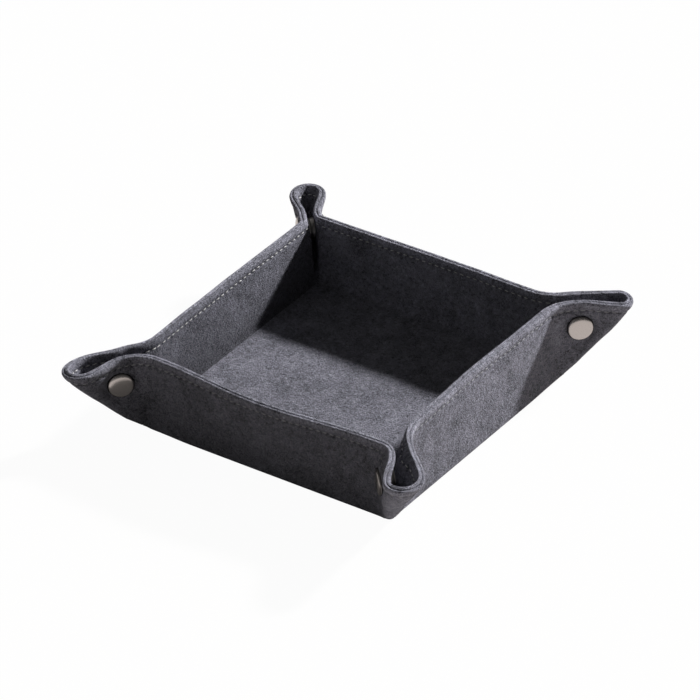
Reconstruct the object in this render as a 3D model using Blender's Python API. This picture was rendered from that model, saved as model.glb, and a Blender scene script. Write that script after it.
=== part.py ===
"""Snap-corner desk tray: one folded suede sheet in two layers over a base board, pinched by four snaps.

X runs along the front wall, Y towards the back wall, Z up, and the origin is under the middle of the base.
"""

from math import cos, pi, sin, sqrt, tan

import bmesh
import bpy
from mathutils import Matrix, Vector

# Sheet and base
BASE_SIDE = 0.135
WALL_HEIGHT = 0.039
PANEL_THICKNESS = 0.0016
LAYER_GAP = 0.0003
SPLIT_GAP = 0.0003
BOARD_THICKNESS = 0.0015
BOARD_INSET = 0.0040
FLOOR_LINING_INSET = 0.0038
BOTTOM_BEND_RADIUS = 0.0030
BOTTOM_CORNER_RADIUS = 0.0015
LINING_BOTTOM_HEIGHT = 0.0027
TAB_TOP_HEIGHT = 0.0047
EAR_BOTTOM_HEIGHT = 0.0050
EAR_BOTTOM_LIFT = 0.0017

# How far the middle of each soft wall bows out at the rim
WALL_BOWS = {"front": 0.0040, "right": -0.0010, "back": 0.0005, "left": 0.0005}

# Pinched ears: a leg beside the diagonal, a flare, then a quarter turn that meets the diagonal
CREASE_RADIUS_FLOOR = 0.0030
CREASE_RADIUS_RIM = 0.0080
LEG_OFFSET = 0.0031
FLARE_START = 0.0185
FLARE_START_RIM = 0.0125
FLARE_START_SHARE = 0.88
FLARE_RISE_SHARE = 0.6
LOOP_RADIUS_BOTTOM = 0.0031
LOOP_RADIUS_RIM = 0.0069
LOOP_GROWTH_POWER = 3.0
LOOP_PRESSED_SHARE = 0.3
EAR_LENGTH_AT_FLOOR = 0.0022
SHEET_CORNER_RADIUS = 0.0095
EAR_DROOP_SHARE = 0.05

# How far the faces of each layer stop short of the diagonal fold, so that the halves stay clear as it opens
FOLD_SETBACKS = {"outer": (0.0016, 0.0015), "lining": (0.0002, 0.0002)}

# Snap fasteners
SNAP_HEIGHT_SHARE = 2 / 3
SNAP_HOLE_RADIUS = 0.0021
CAP_RADIUS = 0.0061
CAP_DOME_HEIGHT = 0.0019
CAP_EDGE_HEIGHT = 0.0011
CAP_SHELL = 0.0005
CAP_ROLL_WIDTH = 0.0008
CAP_FLARE_CLEARANCE = 0.000725
POST_RADIUS = 0.0016
POST_CLINCH_RADIUS = 0.0022
POST_CLINCH_HEIGHT = 0.0003
SOCKET_RADIUS = 0.0052
SOCKET_BORE_RADIUS = 0.0042
SOCKET_LIP_RADIUS = 0.0033
SOCKET_BACK_THICKNESS = 0.0004
SOCKET_HEIGHT = 0.0019
SOCKET_LIP_HEIGHT = 0.0003
SPRING_RADIUS = 0.00365
SPRING_WIRE_RADIUS = 0.00025
SPRING_OPENING_ANGLE = 0.7
SPRING_STEPS = 20
SPRING_SIDES = 6
STUD_FLANGE_RADIUS = 0.0048
STUD_FLANGE_THICKNESS = 0.0003
STUD_HEIGHT = 0.0016
STUD_NECK_RADIUS = 0.0026
STUD_HEAD_RADIUS = 0.0029
STUD_WALL = 0.0003
SNAP_CLEARANCE = 0.0001
ROUND_SIDES = 24

# Mesh fineness and the step for measuring slopes
SLOPE_STATION = 0.001
SLOPE_LENGTH = 0.0001
WALL_STATIONS = (-2.0, -1.7, -1.4, -1.15, -1.0, -0.5, 0.0)
EAR_STATIONS = (0.0, 0.5, 1.0, 1.5, 2.0, 2.33, 2.67, 3.0, 3.25, 3.5, 3.75, 4.0)
EAR_ROW_SHARES = (0.0, 0.28, 0.55, 0.8, 1.0)
WALL_ROW_SHARES = (0.0, 0.28, 0.6, 1.0)

HALF_BASE = BASE_SIDE / 2
SHEET_THICKNESS = 2 * PANEL_THICKNESS + LAYER_GAP
MID_WALL = HALF_BASE - SHEET_THICKNESS / 2
CREASE_ALONG = MID_WALL - LEG_OFFSET * sqrt(2)
RIM_LENGTH = WALL_HEIGHT + EAR_LENGTH_AT_FLOOR
EAR_BOTTOM_LENGTH = EAR_BOTTOM_HEIGHT + EAR_LENGTH_AT_FLOOR
SNAP_HEIGHT = SNAP_HEIGHT_SHARE * WALL_HEIGHT
BOARD_BOTTOM = PANEL_THICKNESS + LAYER_GAP
FLOOR_BOTTOM = BOARD_BOTTOM + BOARD_THICKNESS + LAYER_GAP
FLOOR_TOP = FLOOR_BOTTOM + PANEL_THICKNESS
BEND_AXIS_INSET = BOTTOM_BEND_RADIUS * (1 - sin(pi / 4))

WALLS = ("front", "right", "back", "left")
CORNERS = ("front_right", "back_right", "back_left", "front_left")
LAYERS = {
    "outer": (SHEET_THICKNESS / 2, SHEET_THICKNESS / 2 - PANEL_THICKNESS),
    "lining": (PANEL_THICKNESS - SHEET_THICKNESS / 2, -SHEET_THICKNESS / 2),
}


def clear_scene():
    for obj in list(bpy.data.objects):
        bpy.data.objects.remove(obj, do_unlink=True)


def material(name, color, roughness, metallic):
    made = bpy.data.materials.new(name)
    made.use_nodes = True
    shader = made.node_tree.nodes["Principled BSDF"]
    shader.inputs["Base Color"].default_value = (*color, 1.0)
    shader.inputs["Roughness"].default_value = roughness
    shader.inputs["Metallic"].default_value = metallic
    return made


def smooth_step(share):
    share = min(max(share, 0.0), 1.0)
    return share * share * (3 - 2 * share)


def wall_frame(wall):
    """Turns wall coordinates (along, outward, up) into the tray's."""
    turn = Matrix.Rotation(WALLS.index(wall) * pi / 2, 4, "Z")
    front = Matrix(((1, 0, 0, 0), (0, -1, 0, 0), (0, 0, 1, 0), (0, 0, 0, 1)))
    return turn @ front


def loop_radius(length):
    share = min(max(length / RIM_LENGTH, 0.0), 1.0)
    return LOOP_RADIUS_BOTTOM + (LOOP_RADIUS_RIM - LOOP_RADIUS_BOTTOM) * share**LOOP_GROWTH_POWER


def crease(length):
    """Radius of the bend from wall to ear, wider towards the rim, and how far it reaches from its corner."""
    share = min(max(length / RIM_LENGTH, 0.0), 1.0)
    radius = CREASE_RADIUS_FLOOR + (CREASE_RADIUS_RIM - CREASE_RADIUS_FLOOR) * share
    return radius, radius * tan(pi / 8)


def ear_marks(length):
    """Where the flare and the quarter turn start along the diagonal, at one ear length."""
    radius = loop_radius(length)
    turn_start = length - radius * pi / 2
    crease_end = crease(length)[1]
    above_snap = length - SNAP_HEIGHT - EAR_LENGTH_AT_FLOOR
    opened = smooth_step(above_snap / (WALL_HEIGHT - SNAP_HEIGHT))
    flare_start = FLARE_START + (FLARE_START_RIM - FLARE_START) * opened
    flare_start = min(flare_start, crease_end + FLARE_START_SHARE * (turn_start - crease_end))
    rise = (radius - LEG_OFFSET) ** 2 / (turn_start - flare_start) * FLARE_RISE_SHARE
    return flare_start, turn_start - rise, radius


def ear_section(station, length):
    """Distance along the diagonal from the crease, and off the diagonal, for a station from 1 to 4."""
    flare_start, turn_start, radius = ear_marks(length)
    if station <= 2:
        crease_end = crease(length)[1]
        return crease_end + (station - 1) * (flare_start - crease_end), LEG_OFFSET
    if station <= 3:
        share = station - 2
        reach = flare_start + share * (turn_start - flare_start)
        return reach, LEG_OFFSET + (radius - LEG_OFFSET) * smooth_step(share)
    angle = (station - 3) * pi / 2
    return turn_start + radius * sin(angle), radius * cos(angle)


def plan_point(station, length):
    """Middle of the sheet seen from above, as (along, outward) of its wall."""
    radius, crease_end = crease(length)
    if station <= -1:
        return (CREASE_ALONG - crease_end) * (station + 2), MID_WALL
    if station <= 1:
        angle = -pi / 2 + (station + 1) * pi / 8
        center_reach = radius / cos(pi / 8)
        center_along = CREASE_ALONG - center_reach * sin(pi / 8)
        center_out = MID_WALL + center_reach * cos(pi / 8)
        return center_along + radius * cos(angle), center_out + radius * sin(angle)
    reach, off = ear_section(station, length)
    foot = LEG_OFFSET / sqrt(2)
    along = CREASE_ALONG + foot + (reach - off) / sqrt(2)
    out = MID_WALL - foot + (reach + off) / sqrt(2)
    return along, out


def ray_share(station, length):
    """How far a station lies from the wall's end, 0, to the diagonal fold, 1."""
    if station <= 0:
        return 0.0
    if station <= 1:
        return station * crease(length)[1] / length
    flare_start, turn_start, radius = ear_marks(length)
    reach, _ = ear_section(min(station, 3), length)
    return (reach + max(station - 3, 0) * radius * pi / 2) / length


def rim_length(share):
    """Ear length at the rim, where the sheet's corner is cut round."""
    straight = RIM_LENGTH - SHEET_CORNER_RADIUS
    if share * RIM_LENGTH <= straight:
        return RIM_LENGTH
    square = share * share + 1
    middle = straight * (share + 1)
    rest = 2 * straight * straight - SHEET_CORNER_RADIUS**2
    return (middle + sqrt(middle * middle - square * rest)) / square


def swell(along, height):
    """Share of a wall's bow at a place: all of it in the middle of the rim, none at the ears and the bottom."""
    lift = max(height - BOTTOM_BEND_RADIUS, 0.0) / (WALL_HEIGHT - BOTTOM_BEND_RADIUS)
    wall_end = CREASE_ALONG - crease(height + EAR_LENGTH_AT_FLOOR)[1]
    return lift * cos(pi / 2 * min(along / wall_end, 1.0)) ** 2


def sheet_point(station, length, bow):
    along, out = plan_point(station, length)
    height = length - EAR_LENGTH_AT_FLOOR
    if station < -1:
        out += bow * swell(along, height)
    return Vector((along, out, height * (1 - EAR_DROOP_SHARE * ray_share(station, length) ** 2)))


def surface_point(station, length, bow, offset):
    """A point at a signed distance off the middle of the sheet, outer side positive."""
    ahead = sheet_point(station + SLOPE_STATION, length, bow) - sheet_point(station - SLOPE_STATION, length, bow)
    up = sheet_point(station, length + SLOPE_LENGTH, bow) - sheet_point(station, length - SLOPE_LENGTH, bow)
    normal = up.cross(ahead).normalized()
    if station > 2 and offset < 0:
        offset = max(offset, -LOOP_PRESSED_SHARE * loop_radius(length))
    return sheet_point(station, length, bow) + normal * offset


def held_clear(spot):
    """Moves a point straight off the diagonal plane where it would touch the ear's other half."""
    off = (spot.y - spot.x) / sqrt(2)
    push = max(SPLIT_GAP / 2 - off, 0.0) / sqrt(2)
    return Vector((spot.x - push, spot.y + push, spot.z))


def split_shift(station, length, distance):
    """The move along the sheet that opens a split gap beside a station."""
    ahead = sheet_point(station + SLOPE_STATION, length, 0.0) - sheet_point(station - SLOPE_STATION, length, 0.0)
    return ahead.normalized() * distance


def shell_mesh(name, rows_a, rows_b, cells):
    """A closed solid between two grids of points, over the given grid cells."""
    mesh = bmesh.new()
    made = {}

    def vertex(side, key):
        if (side, key) not in made:
            made[side, key] = mesh.verts.new((rows_a, rows_b)[side][key])
        return made[side, key]

    edges = {}
    for i, j in cells:
        ring = ((i, j), (i + 1, j), (i + 1, j + 1), (i, j + 1))
        for corner in (ring[:3], (ring[0], ring[2], ring[3])):
            mesh.faces.new([vertex(0, key) for key in corner])
            mesh.faces.new([vertex(1, key) for key in reversed(corner)])
        for start, end in zip(ring, ring[1:] + ring[:1]):
            edges[start, end] = True
    for start, end in edges:
        if (end, start) not in edges:
            mesh.faces.new([vertex(0, end), vertex(0, start), vertex(1, start), vertex(1, end)])
    bmesh.ops.recalc_face_normals(mesh, faces=mesh.faces)
    data = bpy.data.meshes.new(name)
    mesh.to_mesh(data)
    mesh.free()
    return data


def add_object(name, data, look, hinge):
    obj = bpy.data.objects.new(name, data)
    bpy.context.scene.collection.objects.link(obj)
    data.materials.append(look)
    for polygon in data.polygons:
        polygon.use_smooth = True
    if hinge:
        obj.parent = hinge
        obj.matrix_parent_inverse = hinge.matrix_world.inverted()
    return obj


def add_hinge(name, position, axis, parent):
    """An empty whose X axis is the hinge axis."""
    hinge = bpy.data.objects.new(name, None)
    bpy.context.scene.collection.objects.link(hinge)
    hinge.empty_display_size = LEG_OFFSET
    hinge.matrix_world = Matrix.Translation(position) @ axis.to_track_quat("X", "Z").to_matrix().to_4x4()
    bpy.context.view_layer.update()
    if parent:
        world = hinge.matrix_world.copy()
        hinge.parent = parent
        hinge.matrix_parent_inverse = parent.matrix_world.inverted()
        hinge.matrix_world = world
        bpy.context.view_layer.update()
    return hinge


def ear_piece(name, frame, mirrored, layer, look, hinge):
    """One layer of half an ear, from the corner crease to the diagonal fold."""
    points_a = {}
    points_b = {}
    last = len(EAR_STATIONS) - 1
    for i, station in enumerate(EAR_STATIONS):
        share = ray_share(station, RIM_LENGTH)
        top = rim_length(share)
        bottom = EAR_BOTTOM_LENGTH + EAR_BOTTOM_LIFT * share * share
        for j, row in enumerate(EAR_ROW_SHARES):
            length = bottom + row * (top - bottom)
            for points, offset, setback in zip((points_a, points_b), LAYERS[layer], FOLD_SETBACKS[layer]):
                moved = {0: SPLIT_GAP / 2, last: -setback}.get(i, 0.0)
                spot = surface_point(station, length, 0.0, offset) + split_shift(station, length, moved)
                spot = held_clear(spot)
                if mirrored:
                    spot.x = -spot.x
                points[i, j] = frame @ spot
    cells = [(i, j) for i in range(last) for j in range(len(EAR_ROW_SHARES) - 1)]
    return add_object(name, shell_mesh(name, points_a, points_b, cells), look, hinge)


def wall_heights(layer):
    """Row heights of a wall: the bottom bend or edge, the tab's top, then up to the rim."""
    upper = [EAR_BOTTOM_HEIGHT + share * (WALL_HEIGHT - EAR_BOTTOM_HEIGHT) for share in WALL_ROW_SHARES]
    if layer == "outer":
        return [None, None, BOTTOM_BEND_RADIUS, TAB_TOP_HEIGHT, *upper]
    return [LINING_BOTTOM_HEIGHT, TAB_TOP_HEIGHT, *upper]


def bend_angles():
    start = pi / 4 + SPLIT_GAP / 2 / BOTTOM_BEND_RADIUS
    return (start, (start + pi / 2) / 2)


def wall_piece(name, frame, wall, layer, look, hinge):
    """One layer of a wall: bowed between its corner creases, with mitred tabs at the base corners."""
    bow = WALL_BOWS[wall]
    offsets = LAYERS[layer]
    heights = wall_heights(layer)
    tab_rows = len(heights) - len(WALL_ROW_SHARES)
    count = len(WALL_STATIONS)
    points = ({}, {})
    for j, height in enumerate(heights):
        for side, offset in enumerate(offsets):
            for i, station in enumerate(WALL_STATIONS):
                if j < tab_rows:
                    spot = tab_point(station, height, j, offset, bow)
                else:
                    spot = surface_point(station, height + EAR_LENGTH_AT_FLOOR, bow, offset)
                if i == count - 1:
                    spot += split_shift(station, RIM_LENGTH, -SPLIT_GAP / 2)
                place_pair(points[side], frame, spot, i, j)
            if j < tab_rows:
                spot = tab_point(WALL_STATIONS[-1], height, j, offset, bow)
                spot.x = spot.y - SPLIT_GAP / sqrt(2)
                place_pair(points[side], frame, spot, count, j)
    cells = [(i, j) for i in range(1 - count, count - 1) for j in range(len(heights) - 1)]
    cells += [(i, j) for i in (-count, count - 1) for j in range(tab_rows - 1)]
    return add_object(name, shell_mesh(name, *points, cells), look, hinge)


def place_pair(points, frame, spot, i, j):
    points[i, j] = frame @ spot
    points[-i, j] = frame @ Vector((-spot.x, spot.y, spot.z))


def tab_point(station, height, row, offset, bow):
    """A point below the ears, where the wall runs straight past its creases to the base corner."""
    radius, crease_end = crease(EAR_BOTTOM_LENGTH)
    along = (CREASE_ALONG - crease_end) * (min(station, -1.0) + 2)
    along += max(station + 1, 0.0) * radius * pi / 8
    if height is None:
        angle = bend_angles()[row]
        radius = BOTTOM_BEND_RADIUS + offset - SHEET_THICKNESS / 2
        out = HALF_BASE - BOTTOM_BEND_RADIUS + radius * sin(angle)
        return Vector((along, out, BOTTOM_BEND_RADIUS - radius * cos(angle)))
    out = MID_WALL + offset
    if station < -1:
        out += bow * swell(along, height)
    return Vector((along, out, height))


def rounded_square(half, radius, height):
    """Corner-rounded square ring of points at one height."""
    ring = []
    for corner in range(4):
        for step in range(3):
            angle = corner * pi / 2 + step * pi / 4
            x = (half - radius) * (1 if corner in (0, 3) else -1) + radius * cos(angle)
            y = (half - radius) * (1 if corner in (0, 1) else -1) + radius * sin(angle)
            ring.append((x, y, height))
    return ring


def lofted(name, rings, look, hinge=None):
    """A solid through square rings, closed flat at both ends."""
    mesh = bmesh.new()
    levels = [[mesh.verts.new(point) for point in ring] for ring in rings]
    for lower, upper in zip(levels, levels[1:]):
        for k in range(len(lower)):
            following = (k + 1) % len(lower)
            mesh.faces.new((lower[k], lower[following], upper[following], upper[k]))
    mesh.faces.new(list(reversed(levels[0])))
    mesh.faces.new(levels[-1])
    bmesh.ops.recalc_face_normals(mesh, faces=mesh.faces)
    data = bpy.data.meshes.new(name)
    mesh.to_mesh(data)
    mesh.free()
    obj = add_object(name, data, look, hinge)
    for polygon in data.polygons:
        polygon.use_smooth = False
    return obj


def base_pieces(suede, lining, board):
    center = HALF_BASE - BOTTOM_BEND_RADIUS
    end_angle = pi / 4 - SPLIT_GAP / 2 / BOTTOM_BEND_RADIUS
    inner_radius = BOTTOM_BEND_RADIUS - PANEL_THICKNESS
    rings = []
    for radius, angles in (
        (BOTTOM_BEND_RADIUS, (0.0, end_angle / 2, end_angle)),
        (inner_radius, (end_angle, end_angle / 2, 0.0)),
    ):
        for angle in angles:
            half = center + radius * sin(angle)
            height = BOTTOM_BEND_RADIUS - radius * cos(angle)
            rings.append(rounded_square(half, BOTTOM_CORNER_RADIUS, height))
    lofted("outer_base", rings, suede)
    board_half = HALF_BASE - BOARD_INSET
    heights = (BOARD_BOTTOM, BOARD_BOTTOM + BOARD_THICKNESS)
    lofted("base_board", [rounded_square(board_half, BOTTOM_CORNER_RADIUS, height) for height in heights], board)
    floor_half = HALF_BASE - FLOOR_LINING_INSET
    heights = (FLOOR_BOTTOM, FLOOR_TOP)
    lofted("lining_base", [rounded_square(floor_half, BOTTOM_CORNER_RADIUS, height) for height in heights], lining)


def turned(name, profile, frame, look, hinge):
    """A closed solid of revolution from (radius, height) points, first and last on the axis or a closed ring."""
    mesh = bmesh.new()
    ring_closed = profile[0][0] > 0
    levels = []
    for radius, height in profile:
        if radius == 0:
            levels.append([mesh.verts.new(frame @ Vector((0, 0, height)))])
            continue
        angles = [2 * pi * k / ROUND_SIDES for k in range(ROUND_SIDES)]
        levels.append([mesh.verts.new(frame @ Vector((radius * cos(a), radius * sin(a), height))) for a in angles])
    pairs = list(zip(levels, levels[1:]))
    if ring_closed:
        pairs.append((levels[-1], levels[0]))
    for lower, upper in pairs:
        for k in range(ROUND_SIDES):
            following = (k + 1) % ROUND_SIDES
            if len(lower) == 1:
                mesh.faces.new((lower[0], upper[following], upper[k]))
            elif len(upper) == 1:
                mesh.faces.new((lower[k], lower[following], upper[0]))
            else:
                mesh.faces.new((lower[k], lower[following], upper[following], upper[k]))
    bmesh.ops.recalc_face_normals(mesh, faces=mesh.faces)
    data = bpy.data.meshes.new(name)
    mesh.to_mesh(data)
    mesh.free()
    return add_object(name, data, look, hinge)


def cap_profile(reach):
    """Domed cap with a rolled edge and a clinched post; height 0 is the panel's face, reach the post's end."""
    return (
        (0, CAP_DOME_HEIGHT),
        (CAP_RADIUS / 2, CAP_DOME_HEIGHT - CAP_SHELL / 4),
        (CAP_RADIUS - CAP_ROLL_WIDTH, CAP_EDGE_HEIGHT + CAP_SHELL / 2),
        (CAP_RADIUS - CAP_SHELL / 4, CAP_EDGE_HEIGHT),
        (CAP_RADIUS, CAP_EDGE_HEIGHT / 2),
        (CAP_RADIUS - CAP_SHELL / 2, SPLIT_GAP),
        (CAP_RADIUS - CAP_ROLL_WIDTH, SPLIT_GAP),
        (CAP_RADIUS - CAP_ROLL_WIDTH, CAP_EDGE_HEIGHT - CAP_SHELL / 2),
        (POST_RADIUS, CAP_DOME_HEIGHT - CAP_SHELL),
        (POST_RADIUS, -reach + POST_CLINCH_HEIGHT),
        (POST_CLINCH_RADIUS, -reach + POST_CLINCH_HEIGHT),
        (POST_CLINCH_RADIUS, -reach),
        (0, -reach),
    )


def socket_profile():
    """Socket seen from its panel: height 0 is the lining's face, bore open towards the stud."""
    lip = SOCKET_HEIGHT - SOCKET_LIP_HEIGHT
    return (
        (POST_RADIUS + SNAP_CLEARANCE, 0.0),
        (SOCKET_RADIUS, 0.0),
        (SOCKET_RADIUS, SOCKET_HEIGHT / 2),
        (SOCKET_RADIUS - SOCKET_LIP_HEIGHT, SOCKET_HEIGHT),
        (SOCKET_LIP_RADIUS + SOCKET_LIP_HEIGHT / 2, SOCKET_HEIGHT),
        (SOCKET_LIP_RADIUS, lip),
        (SOCKET_BORE_RADIUS, lip - SOCKET_LIP_HEIGHT / 2),
        (SOCKET_BORE_RADIUS, SOCKET_BACK_THICKNESS),
        (POST_RADIUS + SNAP_CLEARANCE, SOCKET_BACK_THICKNESS),
    )


def stud_profile():
    """Hollow stud on a flange; height 0 is the lining's face."""
    hollow = STUD_NECK_RADIUS - STUD_WALL
    return (
        (POST_RADIUS + SNAP_CLEARANCE, 0.0),
        (STUD_FLANGE_RADIUS, 0.0),
        (STUD_FLANGE_RADIUS, STUD_FLANGE_THICKNESS),
        (STUD_NECK_RADIUS + STUD_WALL / 2, STUD_FLANGE_THICKNESS),
        (STUD_NECK_RADIUS, STUD_HEIGHT / 2),
        (STUD_HEAD_RADIUS, STUD_HEIGHT - STUD_WALL / 2),
        (hollow, STUD_HEIGHT),
        (hollow, STUD_FLANGE_THICKNESS),
        (POST_RADIUS + SNAP_CLEARANCE, STUD_FLANGE_THICKNESS),
    )


def spring_ring(name, frame, look, hinge):
    """Split ring of round wire that grips the stud, lying in the socket's bore."""
    mesh = bmesh.new()
    rings = []
    for step in range(SPRING_STEPS + 1):
        angle = SPRING_OPENING_ANGLE / 2 + step / SPRING_STEPS * (2 * pi - SPRING_OPENING_ANGLE)
        ring = []
        for side in range(SPRING_SIDES):
            around = side / SPRING_SIDES * 2 * pi
            radius = SPRING_RADIUS + SPRING_WIRE_RADIUS * cos(around)
            spot = Vector((radius * cos(angle), radius * sin(angle), SPRING_WIRE_RADIUS * sin(around)))
            ring.append(mesh.verts.new(frame @ spot))
        rings.append(ring)
    for near, far in zip(rings, rings[1:]):
        for k in range(SPRING_SIDES):
            following = (k + 1) % SPRING_SIDES
            mesh.faces.new((near[k], near[following], far[following], far[k]))
    mesh.faces.new(list(reversed(rings[0])))
    mesh.faces.new(rings[-1])
    bmesh.ops.recalc_face_normals(mesh, faces=mesh.faces)
    data = bpy.data.meshes.new(name)
    mesh.to_mesh(data)
    mesh.free()
    return add_object(name, data, look, hinge)


def snap_frame(corner, side):
    """Frame at the diagonal plane, height axis pointing to one side's panels; the cap just clears the flare."""
    turn = Matrix.Rotation(corner * pi / 2, 4, "Z")
    flare_start = ear_marks(SNAP_HEIGHT + EAR_LENGTH_AT_FLOOR)[0]
    from_crease = flare_start - CAP_RADIUS - CAP_FLARE_CLEARANCE
    out = MID_WALL - (LEG_OFFSET - from_crease) / sqrt(2)
    place = Matrix.Translation((out, -out, SNAP_HEIGHT))
    outward = Vector((-side, -side, 0)).normalized()
    return turn @ place @ outward.to_track_quat("Z", "Y").to_matrix().to_4x4()


def snap_half(corner, side, kind, metal_cap, metal_part, hinge):
    """Cap and its post outside, socket or stud inside, on one ear half."""
    frame = snap_frame(corner, side)
    place = CORNERS[corner]
    panel_face = LEG_OFFSET + SHEET_THICKNESS / 2
    lining_face = LEG_OFFSET - SHEET_THICKNESS / 2 - SNAP_CLEARANCE
    outside = frame @ Matrix.Translation((0, 0, panel_face))
    if kind == "socket":
        depth = SOCKET_BACK_THICKNESS
        profile = socket_profile()
    else:
        depth = STUD_FLANGE_THICKNESS
        profile = stud_profile()
    reach = panel_face - lining_face + depth + SNAP_CLEARANCE + POST_CLINCH_HEIGHT
    turned(f"{kind}_cap_{place}", cap_profile(reach), outside, metal_cap, hinge)
    inside = frame @ Matrix.Translation((0, 0, lining_face)) @ Matrix.Rotation(pi, 4, "X")
    turned(f"{kind}_{place}", profile, inside, metal_part, hinge)
    if kind == "socket":
        spring_height = SOCKET_HEIGHT - SOCKET_LIP_HEIGHT * 2 - SPRING_WIRE_RADIUS - SNAP_CLEARANCE
        spring_ring(f"spring_{place}", inside @ Matrix.Translation((0, 0, spring_height)), metal_part, hinge)


def hole_cutter(corner):
    """Long rod through both layers of both ear halves at a snap."""
    frame = snap_frame(corner, 1)
    half = LEG_OFFSET + SHEET_THICKNESS
    profile = ((0, half), (SNAP_HOLE_RADIUS, half), (SNAP_HOLE_RADIUS, -half), (0, -half))
    cutter = turned(f"cutter_{CORNERS[corner]}", profile, frame, bpy.data.materials[0], None)
    cutter.hide_render = True
    cutter.display_type = "WIRE"
    return cutter


def cut(obj, cutter):
    modifier = obj.modifiers.new("snap_hole", "BOOLEAN")
    modifier.operation = "DIFFERENCE"
    modifier.solver = "EXACT"
    modifier.object = cutter


def build():
    clear_scene()
    suede = material("suede_outer", (0.055, 0.053, 0.062), 0.95, 0.0)
    lining = material("suede_lining", (0.075, 0.073, 0.085), 0.95, 0.0)
    board = material("base_board", (0.35, 0.31, 0.26), 0.9, 0.0)
    metal_cap = material("snap_cap_metal", (0.42, 0.41, 0.40), 0.25, 1.0)
    metal_part = material("snap_part_metal", (0.55, 0.54, 0.52), 0.35, 1.0)
    looks = {"outer": suede, "lining": lining}
    base_pieces(suede, lining, board)
    cutters = [hole_cutter(corner) for corner in range(4)]
    for wall in WALLS:
        frame = wall_frame(wall)
        index = WALLS.index(wall)
        axis_spot = frame @ Vector((0, HALF_BASE - BEND_AXIS_INSET, BEND_AXIS_INSET))
        along = frame.to_3x3() @ Vector((1, 0, 0))
        wall_hinge = add_hinge(f"hinge_wall_{wall}", axis_spot, along, None)
        for layer, look in looks.items():
            wall_piece(f"{layer}_wall_{wall}", frame, wall, layer, look, wall_hinge)
        for mirrored in (False, True):
            corner = (index - 1) % 4 if mirrored else index
            place = f"{CORNERS[corner]}_on_{wall}"
            flip = Matrix.Scale(-1 if mirrored else 1, 4, Vector((1, 0, 0)))
            inner = -SHEET_THICKNESS / 2
            low = frame @ flip @ surface_point(0.0, EAR_BOTTOM_LENGTH, 0.0, inner)
            high = frame @ flip @ surface_point(0.0, RIM_LENGTH, 0.0, inner)
            ear_hinge = add_hinge(f"hinge_ear_{place}", low, (high - low).normalized(), wall_hinge)
            for layer, look in looks.items():
                ear = ear_piece(f"{layer}_ear_{place}", frame, mirrored, layer, look, ear_hinge)
                cut(ear, cutters[corner])
            kind = "stud" if mirrored else "socket"
            snap_half(corner, -1 if mirrored else 1, kind, metal_cap, metal_part, ear_hinge)


build()
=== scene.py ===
from math import cos, exp, pi, radians, sin, sqrt, tan

import bmesh
import bpy
import numpy as np
from mathutils import Matrix, Vector, noise


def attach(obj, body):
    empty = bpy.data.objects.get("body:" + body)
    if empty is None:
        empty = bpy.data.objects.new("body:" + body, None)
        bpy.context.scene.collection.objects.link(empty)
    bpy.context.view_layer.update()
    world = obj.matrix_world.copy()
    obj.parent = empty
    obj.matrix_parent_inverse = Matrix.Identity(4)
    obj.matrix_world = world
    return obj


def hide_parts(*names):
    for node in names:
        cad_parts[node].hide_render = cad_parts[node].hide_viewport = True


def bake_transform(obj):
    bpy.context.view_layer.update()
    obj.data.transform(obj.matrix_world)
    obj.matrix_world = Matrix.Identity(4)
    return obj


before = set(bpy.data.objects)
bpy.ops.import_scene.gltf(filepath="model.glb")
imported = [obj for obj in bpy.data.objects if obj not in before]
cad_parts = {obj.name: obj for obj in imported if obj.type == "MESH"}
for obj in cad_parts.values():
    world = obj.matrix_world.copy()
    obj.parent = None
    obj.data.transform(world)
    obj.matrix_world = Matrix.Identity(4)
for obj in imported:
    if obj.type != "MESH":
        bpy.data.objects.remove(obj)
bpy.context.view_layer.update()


# Base board: a square of raw grey fibreboard laid between the outer suede and the floor lining.
# It stiffens the bottom, is glued in on both sides, and nothing of it shows when the tray is whole.
def new_finish(name, color, roughness):
    finish = bpy.data.materials.new(name)
    finish.use_nodes = True
    shader = finish.node_tree.nodes["Principled BSDF"]
    shader.inputs["Base Color"].default_value = (*color, 1.0)
    shader.inputs["Roughness"].default_value = roughness
    return finish, finish.node_tree, shader


def add_node(tree, kind, **settings):
    """Adds a node; a setting named after an input fills that input, and any other is an attribute."""
    node = tree.nodes.new(kind)
    for name, value in settings.items():
        label = name.replace("_", " ").title()
        if label in node.inputs:
            node.inputs[label].default_value = value
        else:
            setattr(node, name, value)
    return node


board_finish, tree, shader = new_finish("raw_fibreboard", (0.30, 0.26, 0.21), 0.9)
place = add_node(tree, "ShaderNodeTexCoord")
pulp = add_node(tree, "ShaderNodeTexNoise", scale=420.0, detail=5.0, roughness=0.7)
tint = add_node(tree, "ShaderNodeValToRGB")
tint.color_ramp.elements[0].color = (0.20, 0.17, 0.135, 1.0)
tint.color_ramp.elements[1].color = (0.40, 0.36, 0.30, 1.0)
pulp_bump = add_node(tree, "ShaderNodeBump", strength=0.4, distance=0.0002)
tree.links.new(place.outputs["Object"], pulp.inputs["Vector"])
tree.links.new(pulp.outputs["Fac"], tint.inputs["Fac"])
tree.links.new(tint.outputs["Color"], shader.inputs["Base Color"])
tree.links.new(pulp.outputs["Fac"], pulp_bump.inputs["Height"])
tree.links.new(pulp_bump.outputs["Normal"], shader.inputs["Normal"])
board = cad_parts["base_board"]
board.data.materials.clear()
board.data.materials.append(board_finish)


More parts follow.
